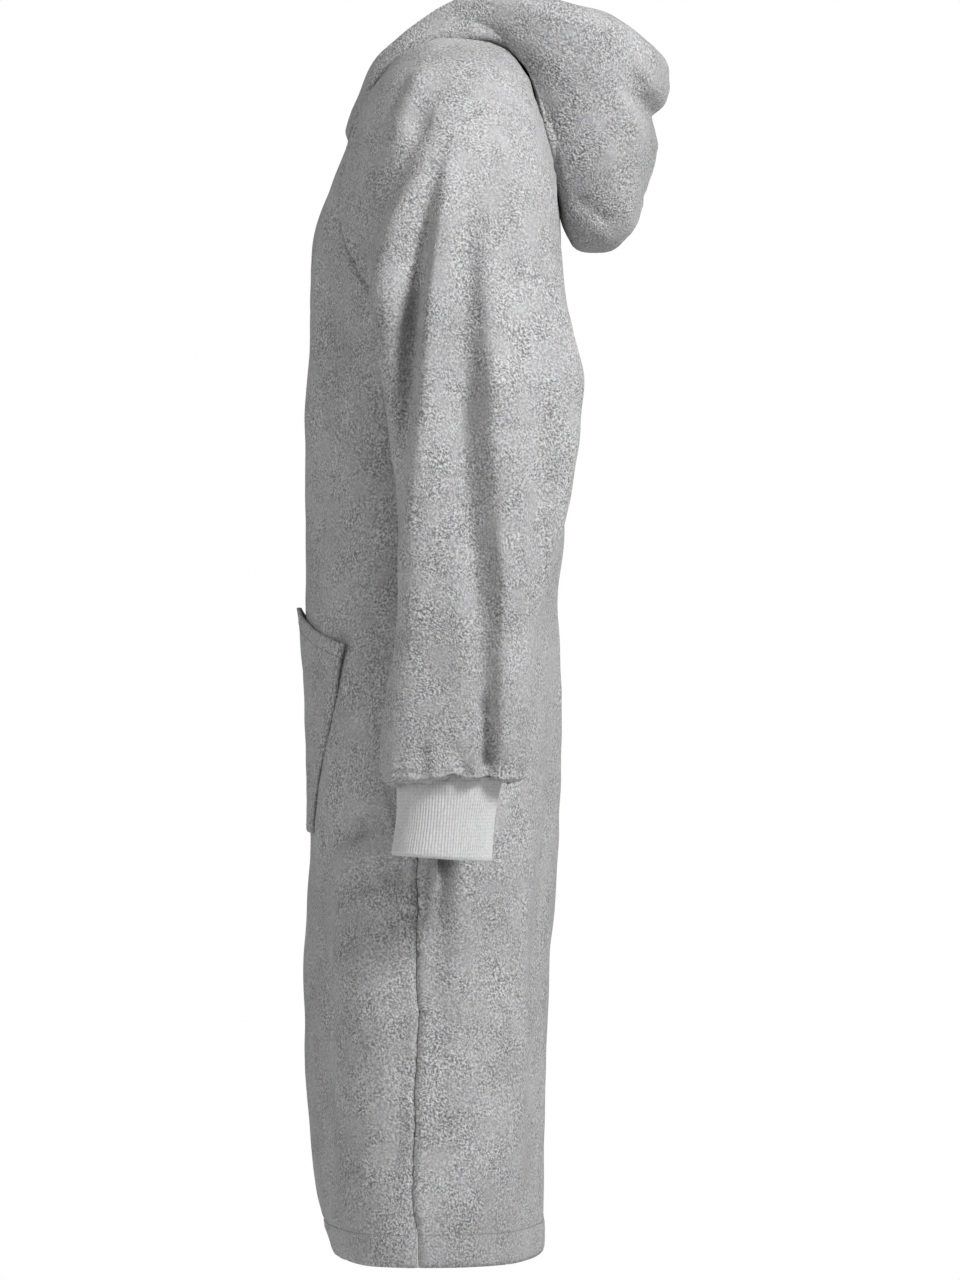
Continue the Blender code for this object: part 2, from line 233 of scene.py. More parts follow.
# Sections of the hood's bag, out and up from the neck: down behind the back, round the bag, over the roll to
# the rim. The back seam is nipped in under the roll, and the side carries on smoothly.
BAG = Table(
    "share seam_out seam_up side_out side_up",
    [
        (0.00, 0, 0, 0, 0),
        (0.03, 11, 6, 11, 6),
        (0.10, 30, -22, 30, -22),
        (0.23, 42, -90, 42, -90),
        (0.335, 47, -148, 47, -146),
        (0.365, 55, -163, 56, -160),
        (0.40, 70, -168, 70, -165),
        (0.435, 88, -166, 88, -158),
        (0.475, 107, -150, 106, -138),
        (0.55, 120, -112, 122, -100),
        (0.64, 132, -66, 137, -62),
        (0.695, 127, -38, 146, -34),
        (0.74, 142, -17, 150, -8),
        (0.79, 143, 8, 145, 14),
        (0.89, 112, 43, 112, 43),
        (1.00, 63, 57, 63, 57),
    ],
)


class Side(Enum):
    """Which half of the body a panel covers, and the way it faces."""

    FRONT = -1
    BACK = 1

    @property
    def column(self) -> str:
        """The name of this side's column in the tables."""
        return self.name.lower()


class Hand(Enum):
    """The wearer's left or right."""

    LEFT = 1
    RIGHT = -1

    @property
    def suffix(self) -> str:
        """The ending of a node's name on this side."""
        return self.name.lower()

    def place(self, points: Array) -> Array:
        """The points of a left piece, mirrored where this is the right."""
        return points * np.array([float(self.value), 1.0, 1.0])


# --------------------------------------
# The worn form, as functions of place
# --------------------------------------


def bow(offset: Array, reach: Array, power: float) -> tuple[Array, Array]:
    """Height of a rounded bow over its chord: (1 - |offset / reach| ^ power) ^ (1 / power).

    Args:
        offset: Distance from the middle of the chord.
        reach: Half of the chord.
        power: 2 for an ellipse, more for a fuller bow.

    Returns:
        The height from 0 to 1, and how far each place lies beyond the chord.
    """
    share = np.clip(np.abs(offset) / reach, 0.0, 1.0)
    return (1.0 - share**power) ** (1.0 / power), np.maximum(np.abs(offset) - reach, 0.0)


def blend_max(a: Array, b: Array, soft: Array) -> Array:
    """The larger of two heights, rounded over a width of soft where they meet."""
    near = np.maximum(soft - np.abs(a - b), 0.0)
    return np.maximum(a, b) + near**2 / (4.0 * np.maximum(soft, 1e-6))


def side_seam_sway(z: Array) -> Array:
    """How far the side seams wander forward and back below the sleeves, as three waves."""
    sway = 1.6 * np.sin(z / 41.0) + 0.9 * np.sin(z / 17.0 + 1.0) + 0.6 * np.sin(z / 8.3 + 2.0)
    return sway * np.clip((-340.0 - z) / 60.0, 0.0, 1.0)


def ring_y(x: Array, z: Array, side: Side) -> Array:
    """Depth of the body and sleeves as one worn form: the larger of the body's bow and the sleeve's bow.

    Args:
        x: Distance from the middle of the garment.
        z: Height.
        side: Front or back.

    Returns:
        The y of the cloth's face.
    """
    x = np.abs(x)
    mid = BODY.at("mid", z) + side_seam_sway(z)
    body_bow, past = bow(x, BODY.at("half", z), 2.5)
    body = body_bow * np.abs(BODY.at(side.column, z) - mid) - 2.0 * past
    inner, outer = SLEEVE.at("inner", z), SLEEVE.at("outer", z)
    sleeve_bow, past = bow(x - (inner + outer) / 2, (outer - inner) / 2, 2.0)
    sleeve = sleeve_bow * np.abs(SLEEVE.at(side.column, z) - mid) - 2.0 * past
    soft = 30.0 * np.clip((z - UNDERARM_Z) / 60.0, 0.0, 1.0)
    return mid + side.value * np.where(z >= UNDERARM_Z, blend_max(body, sleeve, soft), body)


def graded(count: int, strip: float, fine: int) -> Array:
    """Places across a panel from -1 to 1, evenly spaced inside and closer together beside its seams.

    Args:
        count: Even steps across the inside.
        strip: Share of the half width taken by each closer strip.
        fine: Steps in each strip.

    Returns:
        The places in rising order.
    """
    inside = np.linspace(-1.0 + strip, 1.0 - strip, count + 1)
    edge = strip * (np.arange(fine) / fine) ** 1.6
    return np.concatenate([-1.0 + edge, inside, 1.0 - edge[::-1]])


def neck_line(turn: Array) -> tuple[Array, Array, Array]:
    """The left half of the neck seam: an ellipse quarter over the shoulder, then the panels' own neck edges.

    Args:
        turn: 0 at centre front, 0.5 at the shoulder, 1 at centre back.

    Returns:
        x, y and z of the seam.
    """
    front_end, back_end = 0.34, 0.68
    ahead = turn < 0.5
    shoulder = np.clip((turn - 0.5) / np.where(ahead, 0.5 - front_end, back_end - 0.5), -1, 1)
    ridge = YOKE.at("ridge", 0)
    end = np.where(ahead, YOKE.at("front", 0), YOKE.at("back", 0))
    dip = np.where(ahead, YOKE.at("front_dip", 0), YOKE.at("back_dip", 0))
    seam = RAGLAN.at("front", YOKE.at("front", 0))
    share = np.clip(np.where(ahead, turn / front_end, (1 - turn) / (1 - back_end)), 0.0, 1.0)
    on_sleeve = np.abs(shoulder) < 1
    x = seam + (SLEEVE.at("outer", ridge) - seam) * np.cos(shoulder * np.pi / 2)
    x = np.where(on_sleeve, x, seam * np.sin(share * NECK_ARC) / np.sin(NECK_ARC))
    z = ridge + (end - ridge) * shoulder**2 - np.where(on_sleeve, 0.0, dip * (1.0 - share**2))
    return x, np.where(ahead, ring_y(x, z, Side.FRONT), ring_y(x, z, Side.BACK)), z


def ripple(points: Array, wave: float, seed: int, stretch: tuple[float, float, float] = (1, 1, 1)) -> Array:
    """Soft unevenness from -1 to 1: the sum of plane waves with seeded directions and phases.

    Args:
        points: Places, in millimetres.
        wave: Mean length of a wave.
        seed: Seed of the directions and phases.
        stretch: How much longer the waves run along each axis.

    Returns:
        One height for each place.
    """
    rng = np.random.default_rng(seed)
    way = rng.normal(size=(WAVES, 3))
    way /= np.linalg.norm(way, axis=1, keepdims=True)
    pace = 2 * np.pi / (wave * rng.uniform(0.75, 1.4, size=WAVES))
    phase = rng.uniform(0, 2 * np.pi, size=WAVES)
    turns = points @ ((way * pace[:, None]) / np.array(stretch)).T + phase
    return np.sin(turns).sum(axis=-1) / math.sqrt(WAVES) / 1.4


@dataclass(frozen=True)
class Fold:
    """A soft trough or ridge in the cloth along a line of places, uneven in width and height.

    Attributes:
        name: What the fold is.
        line: Places along it, as pairs of (across, up).
        width: Half width.
        height: Height out of the cloth, negative for a trough.
        lean: Above 0 steepens the side of smaller across, below 0 the other.
    """

    name: str
    line: tuple[tuple[float, float], ...]
    width: float
    height: float
    lean: float = 0.0

    def rise(self, across: Array, up: Array) -> Array:
        """Height of the fold: height * end fade * exp(-(distance from the line / width) ^ 2).

        Args:
            across: Places across the piece.
            up: Heights on the piece.

        Returns:
            The height out of the cloth.
        """
        ends = np.array(self.line, dtype=float)
        runs = np.hypot(*np.diff(ends, axis=0).T)
        total = runs.sum()
        nearest = np.full(np.broadcast(across, up).shape, np.inf)
        along = np.zeros_like(nearest)
        hand = np.zeros_like(nearest)
        done = 0.0
        for (a0, b0), (a1, b1), run in zip(ends[:-1], ends[1:], runs):
            da, db = (a1 - a0) / run, (b1 - b0) / run
            t = np.clip((across - a0) * da + (up - b0) * db, 0.0, run)
            off_a, off_b = across - a0 - t * da, up - b0 - t * db
            gap = np.hypot(off_a, off_b)
            closer = gap < nearest
            nearest = np.where(closer, gap, nearest)
            along = np.where(closer, (done + t) / total, along)
            hand = np.where(closer, np.sign(off_a), hand)
            done += run
        fade = np.clip(np.sin(np.pi * np.clip(along, 0.03, 0.97)), 0.0, 1.0) ** 0.6
        wobble = 1.0 + 0.22 * np.sin(along * 9.0 + self.width) + 0.1 * np.sin(along * 23.0 + self.height)
        width = self.width * (1.0 + self.lean * hand) * (0.9 + 0.25 * along)
        return self.height * fade * wobble * np.exp(-((nearest / width) ** 2))


def rise_of(folds: tuple[Fold, ...], across: Array, up: Array) -> Array:
    """The heights of several folds, added."""
    return sum((fold.rise(across, up) for fold in folds), np.zeros(np.broadcast(across, up).shape))


# --------------------------------------
# Finishes
# --------------------------------------


def linear(code: str) -> tuple[float, float, float, float]:
    """An sRGB hex colour as linear red, green, blue and alpha."""
    parts = [int(code.lstrip("#")[i : i + 2], 16) / 255 for i in (0, 2, 4)]
    return (*(c / 12.92 if c <= 0.04045 else ((c + 0.055) / 1.055) ** 2.4 for c in parts), 1.0)


def feed(tree: bpy.types.NodeTree, node: bpy.types.Node, links: dict) -> None:
    """Fill a node's inputs, by name or number, each from an output socket or with a value of its own."""
    for name, value in links.items():
        if isinstance(value, bpy.types.NodeSocket):
            tree.links.new(value, node.inputs[name])
        else:
            node.inputs[name].default_value = value


def add(
    tree: bpy.types.NodeTree,
    kind: str,
    links: dict,
    out: str | int,
    stops: tuple[tuple[float, str], ...] = (),
    **settings: object,
) -> bpy.types.NodeSocket:
    """Add a node with its settings, its inputs and, where it is a ramp, its stops.

    Args:
        tree: The material's node tree.
        kind: The node's type, after ShaderNode.
        links: The inputs, as feed takes them.
        out: Name or number of the output wanted.
        stops: A ramp's stops, as pairs of place and hex colour.
        settings: Properties of the node itself.

    Returns:
        The output.
    """
    node = tree.nodes.new("ShaderNode" + kind)
    for name, value in settings.items():
        setattr(node, name, value)
    feed(tree, node, links)
    for _ in stops[2:]:
        node.color_ramp.elements.new(0.5)
    for number, (place, code) in enumerate(stops):
        node.color_ramp.elements[number].position = place
        node.color_ramp.elements[number].color = linear(code)
    return node.outputs[out]


def blank(name: str) -> tuple[bpy.types.Material, bpy.types.NodeTree, bpy.types.Node, bpy.types.NodeSocket]:
    """A new material, its node tree, its shader and the object's own coordinates."""
    made = bpy.data.materials.new(name)
    made.use_nodes = True
    tree = made.node_tree
    return made, tree, tree.nodes["Principled BSDF"], add(tree, "TexCoord", {}, "Object")


@dataclass(frozen=True)
class LoopedTerry:
    """Cotton-rich looped terry: short uncut loops, brushed this way and that in wear.

    The eye sees a fine salt-and-pepper fleck, combed into small patches, some of them lying smooth, under
    broad paler and darker clouds where the pile leans, and no gloss at all. The fleck is a grey heather
    whose dark end is painted shade in the gaps between the loops and whose light end is painted highlight on
    the loop tips.
    """

    name: str = "grey looped cotton terry"
    # gap is painted shade in the hollows between the loops, lit_tip is painted highlight on the loop tips,
    # body is the terry's own grey
    gap: str = "#6c6c6d"
    body: str = "#99999a"
    lit_tip: str = "#c4c4c5"
    fleck_mm: float = 2.1
    comb_mm: float = 34.0
    cloud_mm: float = 75.0
    drift_m: tuple[float, float, float] = (0.012, 0.012, 0.008)
    pile_m: float = 0.0026

    def make(self) -> bpy.types.Material:
        """Build the cloth: combed flecks in the colour and the bump, clouds over them, and a soft nap."""
        made, tree, shader, place = blank(self.name)
        sizes = ((self.comb_mm, 1.0), (self.comb_mm * 0.8, 2.0), (self.cloud_mm, 3.0))
        noises = [{"Vector": place, "Scale": 1.0 / (size * MM), "Detail": detail} for size, detail in sizes]
        comb = add(tree, "TexNoise", noises[0], "Color")
        drift = add(tree, "VectorMath", {0: comb, 1: (0.5, 0.5, 0.5)}, 0, operation="SUBTRACT")
        combed = add(tree, "VectorMath", {0: drift, 1: self.drift_m, 2: place}, 0, operation="MULTIPLY_ADD")
        fine = {"Vector": combed, "Scale": 1.0 / (self.fleck_mm * MM), "Detail": 2.0}
        fleck = add(tree, "TexNoise", fine, "Fac")
        loops = add(tree, "TexVoronoi", {"Vector": combed, "Scale": 0.8 / (self.fleck_mm * MM)}, "Distance")
        height = add(tree, "Math", {0: loops, 1: -0.22, 2: fleck}, 0, operation="MULTIPLY_ADD")
        # The fleck's height picks the colour over the heather: painted shade where it is low in the loop
        # gaps, painted highlight where it is high on the loop tips
        tones = ((0.2, self.gap), (0.38, self.body), (0.58, self.lit_tip))
        colour = add(tree, "ValToRGB", {"Fac": height}, "Color", tones)
        smooth = add(tree, "TexNoise", noises[1], "Fac")
        span = {"Value": smooth, "From Min": 0.3, "From Max": 0.62, "To Min": 0.3}
        lying = add(tree, "MapRange", span, "Result")
        cloud = add(tree, "TexNoise", noises[2], "Fac")
        shade = add(tree, "ValToRGB", {"Fac": cloud}, "Color", ((0.3, "#e9e9e9"), (0.68, "#ffffff")))
        # Smooth lying patches take the plain grey; elsewhere the colour keeps the fleck's painted loop shade
        # and highlight
        worn = add(tree, "Mix", {0: lying, 6: linear(self.body), 7: colour}, 2, data_type="RGBA")
        layers = {0: 1.0, 6: worn, 7: shade}
        toned = add(tree, "Mix", layers, 2, data_type="RGBA", blend_type="MULTIPLY")
        bump = add(tree, "Bump", {"Height": height, "Strength": lying, "Distance": self.pile_m}, "Normal")
        feed(tree, shader, {"Base Color": toned, "Normal": bump, "Roughness": 0.95})
        feed(tree, shader, {"Specular IOR Level": 0.1, "Sheen Weight": 0.12, "Sheen Roughness": 0.5})
        return made


@dataclass(frozen=True)
class RibKnit:
    """Fine two-by-two cotton rib: pale, close vertical ridges of small knit stitches, slightly smoother."""

    name: str = "pale grey cotton rib knit"
    # gap is painted shade in the hollows between the stitch rows, body the knit's own pale grey
    gap: str = "#a0a0a1"
    body: str = "#bbbbbc"
    stitch_mm: float = 1.7

    def make(self) -> bpy.types.Material:
        """Build the knit: rows of stitches across the ribs from height, with a soft heather."""
        made, tree, shader, place = blank(self.name)
        pace = 1.0 / (self.stitch_mm * MM * 2 * math.pi)
        waves = {"Vector": place, "Scale": pace, "Distortion": 1.5}
        rows = add(tree, "TexWave", waves, "Fac", bands_direction="Z")
        heather = add(tree, "TexNoise", {"Vector": place, "Scale": 420.0, "Detail": 3.0}, "Fac")
        both = add(tree, "Math", {0: rows, 1: 0.12, 2: heather}, 0, operation="MULTIPLY_ADD")
        # The colour is mostly the heather's own tone; the stitch rows add a little painted shade in their
        # hollows
        colour = add(tree, "ValToRGB", {"Fac": both}, "Color", ((0.25, self.gap), (0.7, self.body)))
        bump = add(tree, "Bump", {"Height": both, "Strength": 0.3, "Distance": 0.0005}, "Normal")
        feed(tree, shader, {"Base Color": colour, "Normal": bump, "Roughness": 0.85})
        feed(tree, shader, {"Specular IOR Level": 0.2, "Sheen Weight": 0.15})
        return made


@dataclass(frozen=True)
class Flecked:
    """A plain matt finish with a fine fleck.

    Attributes:
        name: The real material.
        dark: Colour of the fleck's dark end.
        pale: Colour of its pale end.
        grain: Flecks to a metre.
        detail: Detail of the fleck.
        ends: Where on the noise the two colours stand.
        roughness: Roughness of the surface.
    """

    name: str
    dark: str
    pale: str
    grain: float
    detail: float
    ends: tuple[float, float]
    roughness: float

    def make(self) -> bpy.types.Material:
        """Build the finish: a noise between the two colours."""
        made, tree, shader, place = blank(self.name)
        fleck = add(tree, "TexNoise", {"Vector": place, "Scale": self.grain, "Detail": self.detail}, "Fac")
        stops = tuple(zip(self.ends, (self.dark, self.pale)))
        colour = add(tree, "ValToRGB", {"Fac": fleck}, "Color", stops)
        feed(tree, shader, {"Base Color": colour, "Roughness": self.roughness})
        return made


# A shade darker than the terry, with a faint twist and a slight shine
THREAD = Flecked("grey spun polyester thread", "#666668", "#7c7c7e", 1800.0, 1.0, (0.3, 0.7), 0.6)
# Barely seen tooth, no gloss
PAPER = Flecked("matt white background paper", "#eeeeee", "#f2f2f2", 60.0, 3.0, (0.2, 0.8), 0.9)


# --------------------------------------
# Cloth pieces
# --------------------------------------


def stand(name: str, points: Array, faces: list, finish: bpy.types.Material) -> bpy.types.Object:
    """Make an object at the origin from places in millimetres and faces, shaded smooth.

    Args:
        name: Its name.
        points: Its points, one to a row.
        faces: Its faces, as lists of point numbers.
        finish: Its material.

    Returns:
        The object, in the scene.
    """
    mesh = bpy.data.meshes.new(name)
    mesh.from_pydata((points * MM).tolist(), [], faces)
    mesh.polygons.foreach_set("use_smooth", np.ones(len(mesh.polygons), dtype=bool))
    mesh.materials.append(finish)
    mesh.update()
    made = bpy.data.objects.new(name, mesh)
    bpy.context.scene.collection.objects.link(made)
    return made


def normals_of(points: Array, outward: float) -> Array:
    """Unit normals of a grid: the cross product of its directions across and down, turned outward.

    Args:
        points: The grid, as rows by columns by three.
        outward: 1 where across times down points out of the cloth, otherwise -1.

    Returns:
        One normal for each point.
    """
    across = np.gradient(points, axis=1)
    down = np.gradient(points, axis=0)
    normal = np.cross(across, down) * outward
    return normal / np.maximum(np.linalg.norm(normal, axis=-1, keepdims=True), 1e-9)


def edge_distance(points: Array, axis: int, last: bool) -> Array:
    """Distance of each point of a grid from its first or last row or column, along the cloth."""
    step = np.linalg.norm(np.diff(points, axis=axis), axis=-1)
    lead = np.zeros_like(np.take(step, [0], axis=axis))
    walk = np.concatenate([lead, np.cumsum(step, axis=axis)], axis=axis)
    return np.take(walk, [-1], axis=axis) - walk if last else walk


def seam_rise(distance: Array, along: Array, seed: int, pucker: float = 1.0) -> Array:
    """How cloth lies beside a seam: it rolls in at the edge, swells just behind it, and puckers.

    Height is -3 exp(-(d / 3) ^ 2) + 1.1 exp(-((d - 8) / 5) ^ 2) plus waves along the seam that die out over
    15 mm.

    Args:
        distance: Distance from the seam.
        along: Place along the seam.
        seed: Seed of the puckers.
        pucker: Their strength.

    Returns:
        The height out of the cloth.
    """
    rng = np.random.default_rng(seed)
    waves = sum(
        np.sin(along * 2 * np.pi / length + rng.uniform(0, 6.28) + 0.8 * np.sin(along / 61.0 + seed))
        for length in (14.0, 19.0, 33.0)
    )
    roll = -3.0 * np.exp(-((distance / 3.0) ** 2)) + 1.1 * np.exp(-(((distance - 8.0) / 5.0) ** 2))
    return roll + 0.5 * pucker * waves * np.exp(-((distance / 11.0) ** 2))


@dataclass
class Panel:
    """One cut piece of cloth: its face as a grid of points, and the facts of its cut.

    Attributes:
        node: The CAD node it stands for, and its own name's stem.
        points: The finished face, rows by columns by three, in millimetres.
        outward: 1 where across times down points out of the cloth, otherwise -1.
        flat: Width and length of the cut, in metres; not used.
        area: Flat area of the cut, in square metres; not used.
        held: How the cloth is held; not used.
        rests_on: What it hangs from or lies on; not used.
        joined_from: First row whose ends join into a tube, or None.
        inside: The cloth's inner face as a matching grid, or None to leave it to the wall's thickness.
        wall: Thickness of the cloth.
        slot: The name of its finish slot; not used.
        stitches: Rows of stitching, as name, distance from an edge, axis and whether the last edge.
    """

    node: str
    points: Array
    outward: float
    flat: tuple[float, float]
    area: float
    held: str = "hung"
    rests_on: tuple[str, ...] = ()
    joined_from: int | None = None
    inside: Array | None = None
    wall: float = WALL
    slot: str = "terry"
    stitches: tuple[tuple[str, float, int, bool], ...] = ()

    def build(self, finish: bpy.types.Material) -> bpy.types.Object:
        """Args:
            finish: The cloth's material.

        Returns:
            The finished object.
        """
        if self.inside is not None:
            self.points = np.concatenate([self.points, self.inside[::-1], self.points[:1]])
        rows, cols = self.points.shape[:2]
        index = np.arange(rows * cols).reshape(rows, cols)
        if self.inside is not None:
            index[-1] = index[0]
        if self.joined_from is not None:
            index[self.joined_from :, -1] = index[self.joined_from :, 0]
        corners = [index[:-1, :-1], index[:-1, 1:], index[1:, 1:], index[1:, :-1]]
        order = corners if self.outward > 0 else corners[::-1]
        faces = np.stack(order, axis=-1).reshape(-1, 4)
        used, faces = np.unique(faces, return_inverse=True)
        points = self.points.reshape(-1, 3)[used]
        made = stand(self.node + "_cloth", points, faces.reshape(-1, 4).tolist(), finish)
        if self.inside is None:
            thick = made.modifiers.new("cloth wall", "SOLIDIFY")
            thick.thickness = self.wall * MM
            thick.offset = -1.0
        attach(made, "root")
        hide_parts(self.node)
        LOG.info("%s: %d points", self.node, len(used))
        return made

    def stitch(self, thread: bpy.types.Material) -> None:
        """Lay the piece's rows of stitching along its face."""
        for name, distance, axis, last in self.stitches:
            Topstitch(f"{self.node}_{name}_stitches", inset(self.points, distance, axis, last)).build(thread)


@dataclass
class BodyPanel:
    """The front or the back of the body, cut on the fold, with raglan armholes and a turned hem."""

    side: Side
    flat: tuple[float, float]
    area: float
    columns: int = 120
    yoke_steps: int = 62
    skirt_steps: int = 215
    hem_depth: float = 32.0
    face_folds: tuple[Fold, ...] = ()
    side_folds: tuple[Fold, ...] = ()

    def base(self) -> Array:
        """The worn form: x is a sine across each row, y the ring's depth, and rows dip to the neck.

        Returns:
            The plain grid, neck edge first.
        """
        name = self.side.column
        s = graded(self.columns, 0.03, 6)
        row = np.linspace(0.0, YOKE_ROWS, self.yoke_steps)
        skirt = np.linspace(UNDERARM_Z, HEM_Z, self.skirt_steps + 1)[1:]
        z = np.concatenate([YOKE.at(name, row), skirt])[:, None]
        dip = np.concatenate([YOKE.at(name + "_dip", row), np.zeros(self.skirt_steps)])[:, None]
        edge = np.where(z >= UNDERARM_Z, RAGLAN.at(name, z), BODY.at("half", z))
        turn = np.radians(90.0 - 32.0 * np.clip((z - UNDERARM_Z) / 160.0, 0.0, 1.0))
        x = edge * np.sin(s * turn) / np.sin(turn)
        z = z - dip * (1.0 - s**2)
        y = ring_y(x, z, self.side) + self.side.value * SEAM / 2
        return np.stack(np.broadcast_arrays(x, y, z), axis=-1)

    def face(self) -> Array:
        """The grid with its folds, hem, seams and unevenness.

        Returns:
            The finished face.
        """
        points = self.base()
        x, y, z = np.moveaxis(points, -1, 0)
        rise = rise_of(self.face_folds, np.abs(x), z) + rise_of(self.side_folds, y, z)
        left = edge_distance(points, 1, False)
        right = edge_distance(points, 1, True)
        near = np.minimum(left, right)
        calm = np.clip(near / 30.0, 0.0, 1.0)
        rise = rise * np.clip(near / 16.0, 0.15, 1.0)
        rise = rise + calm * (1.5 * ripple(points, 150.0, 3, (1, 1, 2.2)) + 0.55 * ripple(points, 46.0, 8))
        rise = rise + seam_rise(near, z, 11 if self.side is Side.FRONT else 17)
        neck = edge_distance(points, 0, False)
        rise = rise + np.where(neck < 40, seam_rise(neck, x, 23, 0.7), 0.0)
        up = z - HEM_Z
        rise = rise - 1.1 * np.exp(-(((up - self.hem_depth) / 3.0) ** 2))
        rise = rise + 0.7 * np.clip((self.hem_depth - up) / 6.0, 0.0, 1.0) - 1.6 * np.exp(-((up / 3.0) ** 2))
        return points + normals_of(points, float(self.side.value)) * rise[..., None]

    def panel(self) -> Panel:
        """The cut piece with its face."""
        rows = (("hem", self.hem_depth, 0, True), ("neck", 6.0, 0, False))
        outward = float(self.side.value)
        return Panel(self.side.column, self.face(), outward, self.flat, self.area, stitches=rows)


@dataclass
class SleevePiece:
    """A raglan sleeve: an open cap over the shoulder that joins into a tube below the underarm."""

    hand: Hand
    flat: tuple[float, float] = (0.56, 0.78)
    area: float = 0.30
    columns: int = 120
    cap_steps: int = 62
    tube_steps: int = 96
    end_strip: float = 16.0
    end_steps: int = 12
    folds: tuple[Fold, ...] = ()

    def base(self) -> Array:
        """The worn form: each row swings from the front seam over the outside to the back seam.

        Returns:
            The plain grid of the left sleeve, neck edge first.
        """
        s = graded(self.columns, 0.05, 5)
        row = np.linspace(0.0, YOKE_ROWS, self.cap_steps)
        strip_z = CUFF_TOP_Z + self.end_strip
        tube = np.linspace(UNDERARM_Z, strip_z, self.tube_steps + 1)[1:]
        tube = np.concatenate([tube, np.linspace(strip_z, CUFF_TOP_Z, self.end_steps + 1)[1:]])
        ridge, front, back = (
            np.concatenate([YOKE.at(name, row), tube])[:, None] for name in ("ridge", "front", "back")
        )
        end = np.where(s < 0, front, back)
        z = ridge + (end - ridge) * s**2
        seam = np.where(s < 0, RAGLAN.at("front", front), RAGLAN.at("back", back))
        inner, outer = SLEEVE.at("inner", ridge), SLEEVE.at("outer", ridge)
        closed = ridge <= UNDERARM_Z
        merge = np.clip((end - UNDERARM_Z) / 60.0, 0.0, 1.0)
        middle = np.where(closed, (inner + outer) / 2, (inner + outer) / 2 * (1 - merge) + seam * merge)
        middle = np.maximum(middle, seam * merge)
        start = np.where(closed, inner, seam)
        swing = np.arccos(np.clip((start - middle) / (outer - middle), -1.0, 1.0))
        x = middle + (outer - middle) * np.cos(s * swing)
        joined = np.where(s < 0, ring_y(x, z, Side.FRONT), ring_y(x, z, Side.BACK))
        mid = SLEEVE.at("mid", z)
        depth = np.where(s < 0, mid - SLEEVE.at("front", z), SLEEVE.at("back", z) - mid)
        hung, _ = bow(x - (inner + outer) / 2, (outer - inner) / 2, 2.0)
        y = np.where(closed, mid + np.where(s < 0, -1.0, 1.0) * depth * hung, joined)
        return np.stack(np.broadcast_arrays(x + 2 * SEAM, y, z), axis=-1)

    def face(self) -> Array:
        """The grid with its long folds, gathers above the cuff, seams and unevenness.

        Returns:
            The finished face of the left sleeve.
        """
        points = self.base()
        _, y, z = np.moveaxis(points, -1, 0)
        normal = normals_of(points, -1.0)
        facing = np.clip(normal[..., 0] * 3.0 + 0.5, 0.0, 1.0)
        fold = facing * rise_of(self.folds, y, z)
        rise = np.zeros_like(y)
        near = np.minimum(edge_distance(points, 1, False), edge_distance(points, 1, True))
        calm = np.clip(near / 30.0, 0.0, 1.0)
        rise = rise + calm * (
            1.6 * ripple(points, 110.0, 31, (1, 1, 2.6)) + 0.8 * ripple(points, 42.0, 37, (1, 1, 1.4))
        )
        rise = rise + seam_rise(near, z, 41)
        neck = edge_distance(points, 0, False)
        rise = rise + np.where(neck < 40, seam_rise(neck, y, 43, 0.7), 0.0)
        up = z - CUFF_TOP_Z
        turn = np.arctan2(y, points[..., 0] - 305.0)
        gathers = np.sin(turn * 11.0 + 1.3 * np.sin(turn * 3.0)) + 0.6 * np.sin(turn * 17.0 + 2.0)
        lift = 1.3 * gathers + 6.0 * np.exp(-(((turn + 0.05) / 0.16) ** 2)) + 1.0
        points = points + np.stack([0 * y, 0 * y, lift * np.exp(-((up / 9.0) ** 2))], axis=-1)
        rise = rise + 1.5 * gathers * np.exp(-(((up - 14.0) / 24.0) ** 2)) * np.clip(up / 6.0, 0.0, 1.0)
        rise = rise - 1.3 * np.exp(-(((up - 8.0) / 1.8) ** 2)) + 0.8 * np.exp(-(((up - 4.0) / 2.0) ** 2))
        pull = normal * 0.5 + np.array([1.0, 0.0, 0.0])
        pull /= np.linalg.norm(pull, axis=-1, keepdims=True)
        return points + normal * rise[..., None] + pull * (fold * calm)[..., None]

    def panel(self) -> Panel:
        """The cut piece with its face."""
        return Panel(
            "sleeve_" + self.hand.suffix,
            self.hand.place(self.face()),
            -float(self.hand.value),
            self.flat,
            self.area,
            joined_from=self.cap_steps - 1,
            stitches=(("end", 10.0, 0, True), ("neck", 6.0, 0, False)),
        )


